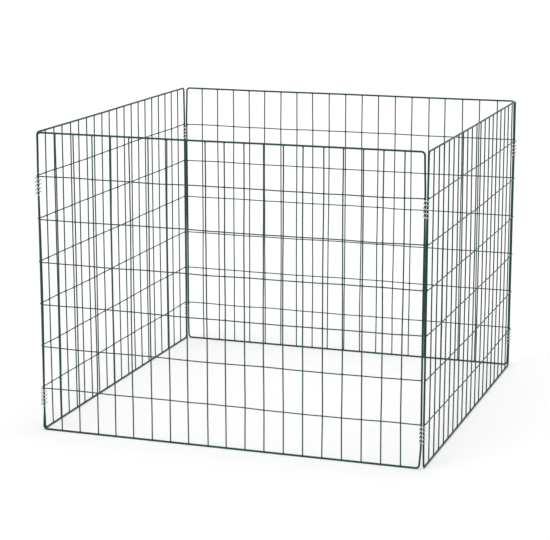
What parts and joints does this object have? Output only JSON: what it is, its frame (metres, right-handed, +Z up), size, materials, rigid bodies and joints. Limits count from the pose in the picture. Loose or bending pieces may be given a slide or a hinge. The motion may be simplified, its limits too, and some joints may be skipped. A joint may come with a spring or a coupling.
{
  "type": "wire compost bin",
  "caption": "Square open-topped compost bin of welded green coated wire panels, hinged at the corners by galvanised spiral clips so that it folds flat.",
  "frame": {"origin": "centre of the bin on the ground it stands on", "axes": "+Z up; the front panel faces -Y and the right panel faces +X"},
  "size_m": [0.9224, 0.9224, 0.7],
  "materials": {
    "green_coated_wire": "dark green plastic coat on steel wire, smooth with a soft gloss",
    "galvanised_wire": "bright zinc-coated spring wire"
  },
  "bodies": {
    "back_panel": {"back_panel_frame": "green_coated_wire", "back_panel_cross_wire_1": "green_coated_wire", "back_panel_cross_wire_2": "green_coated_wire", "back_panel_cross_wire_3": "green_coated_wire", "back_panel_cross_wire_4": "green_coated_wire", "back_panel_cross_wire_5": "green_coated_wire", "back_panel_cross_wire_6": "green_coated_wire", "back_right_top_clip": "galvanised_wire", "back_right_bottom_clip": "galvanised_wire"},
    "left_panel": {"left_panel_frame": "green_coated_wire", "left_panel_cross_wire_1": "green_coated_wire", "left_panel_cross_wire_2": "green_coated_wire", "left_panel_cross_wire_3": "green_coated_wire", "left_panel_cross_wire_4": "green_coated_wire", "left_panel_cross_wire_5": "green_coated_wire", "left_panel_cross_wire_6": "green_coated_wire", "back_left_top_clip": "galvanised_wire", "back_left_bottom_clip": "galvanised_wire"},
    "right_panel": {"right_panel_frame": "green_coated_wire", "right_panel_cross_wire_1": "green_coated_wire", "right_panel_cross_wire_2": "green_coated_wire", "right_panel_cross_wire_3": "green_coated_wire", "right_panel_cross_wire_4": "green_coated_wire", "right_panel_cross_wire_5": "green_coated_wire", "right_panel_cross_wire_6": "green_coated_wire", "front_right_top_clip": "galvanised_wire", "front_right_bottom_clip": "galvanised_wire"},
    "front_panel": {"front_panel_frame": "green_coated_wire", "front_panel_cross_wire_1": "green_coated_wire", "front_panel_cross_wire_2": "green_coated_wire", "front_panel_cross_wire_3": "green_coated_wire", "front_panel_cross_wire_4": "green_coated_wire", "front_panel_cross_wire_5": "green_coated_wire", "front_panel_cross_wire_6": "green_coated_wire", "front_left_top_clip": "galvanised_wire", "front_left_bottom_clip": "galvanised_wire"}
  },
  "joints": [
    {"name": "left_fold", "type": "hinge", "parent": "back_panel", "child": "left_panel", "pos_m": [-0.4492, 0.4543, 0], "axis": [0, 0, 1], "range_deg": [-88, 88]},
    {"name": "right_fold", "type": "hinge", "parent": "back_panel", "child": "right_panel", "pos_m": [0.4543, 0.4492, 0], "axis": [0, 0, 1], "range_deg": [-88, 88]},
    {"name": "front_fold", "type": "hinge", "parent": "left_panel", "child": "front_panel", "pos_m": [-0.4543, -0.4492, 0], "axis": [0, 0, 1], "range_deg": [-88, 88]}
  ],
  "couplings": [
    {"joint": "right_fold", "follows": "left_fold", "ratio": 1},
    {"joint": "front_fold", "follows": "left_fold", "ratio": -1}
  ]
}
